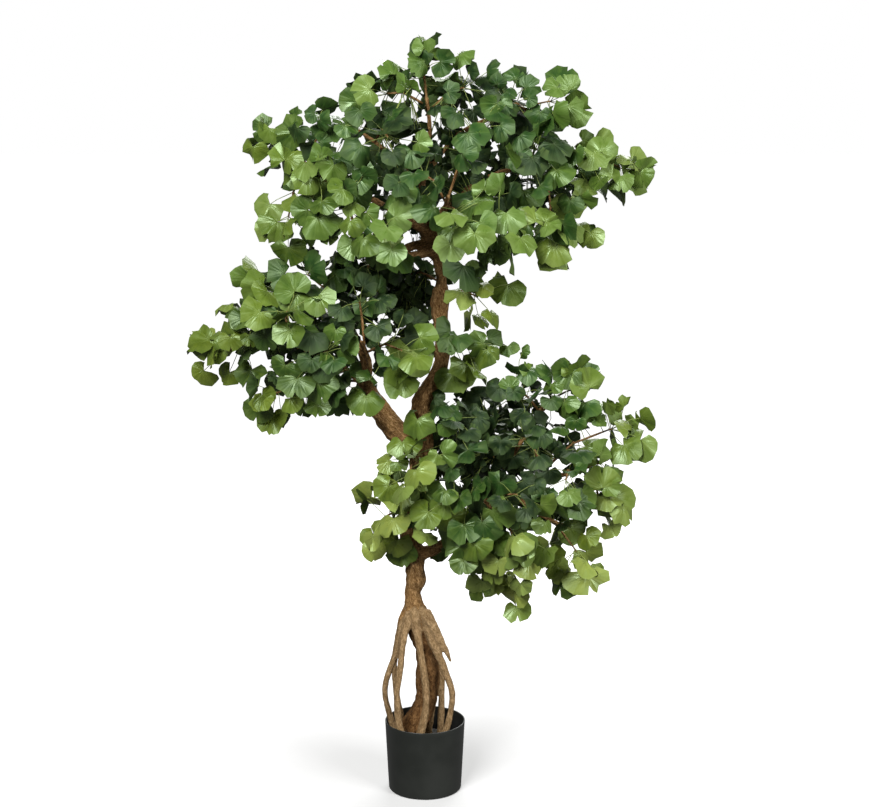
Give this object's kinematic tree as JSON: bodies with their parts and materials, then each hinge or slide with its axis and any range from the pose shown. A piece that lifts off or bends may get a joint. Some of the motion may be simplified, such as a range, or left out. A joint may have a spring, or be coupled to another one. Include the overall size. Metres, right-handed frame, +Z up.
{
  "type": "ginkgo bonsai",
  "caption": "Potted ginkgo bonsai with a gnarled trunk on stilt roots and tiers of fan-shaped leaves on long stalks, for standing on a floor.",
  "frame": {"origin": "centre of the underside of the pot", "axes": "+Z up along the tree's height, +X to the right and -Y to the front as the tree is shown"},
  "size_m": [0.8976, 0.5261, 1.4895],
  "materials": {
    "pot": "satin black nursery-pot plastic",
    "filling": "rough grey set ballast",
    "bark": "rough fibrous brown bark",
    "leaf_light": "satin light green, finely pleated",
    "leaf_dark": "satin dark green, finely pleated"
  },
  "bodies": {
    "root": {"pot": "pot", "filling": "filling", "trunk": "bark", "spray_crown_01": "leaf_light", "spray_crown_02": "leaf_light", "spray_crown_03": "leaf_dark", "spray_crown_04": "leaf_dark", "spray_crown_05": "leaf_light", "spray_crown_06": "leaf_dark", "spray_crown_07": "leaf_light", "spray_crown_08": "leaf_dark", "spray_crown_09": "leaf_dark", "spray_crown_10": "leaf_dark", "spray_crown_11": "leaf_light", "spray_crown_12": "leaf_light", "spray_crown_13": "leaf_light", "spray_crown_14": "leaf_light", "spray_crown_15": "leaf_light", "spray_crown_16": "leaf_light", "spray_crown_17": "leaf_dark", "spray_crown_18": "leaf_light", "spray_crown_19": "leaf_light", "spray_crown_20": "leaf_light", "spray_crown_21": "leaf_dark", "spray_crown_22": "leaf_dark", "spray_crown_23": "leaf_light", "spray_left_01": "leaf_light", "spray_left_02": "leaf_light", "spray_left_03": "leaf_light", "spray_left_04": "leaf_light", "spray_left_05": "leaf_dark", "spray_left_06": "leaf_light", "spray_left_07": "leaf_dark", "spray_left_08": "leaf_light", "spray_left_09": "leaf_dark", "spray_left_10": "leaf_light", "spray_left_11": "leaf_light", "spray_left_12": "leaf_light", "spray_left_13": "leaf_dark", "spray_left_14": "leaf_dark", "spray_left_15": "leaf_dark", "spray_right_01": "leaf_light", "spray_right_02": "leaf_light", "spray_right_03": "leaf_dark", "spray_right_04": "leaf_dark", "spray_right_05": "leaf_light", "spray_right_06": "leaf_light", "spray_right_07": "leaf_light", "spray_right_08": "leaf_dark", "spray_right_09": "leaf_light", "spray_right_10": "leaf_dark", "spray_right_11": "leaf_dark", "spray_right_12": "leaf_light", "spray_right_13": "leaf_light", "spray_right_14": "leaf_light", "spray_right_15": "leaf_light", "spray_right_16": "leaf_light", "spray_right_17": "leaf_dark", "spray_right_18": "leaf_dark"}
  },
  "joints": []
}
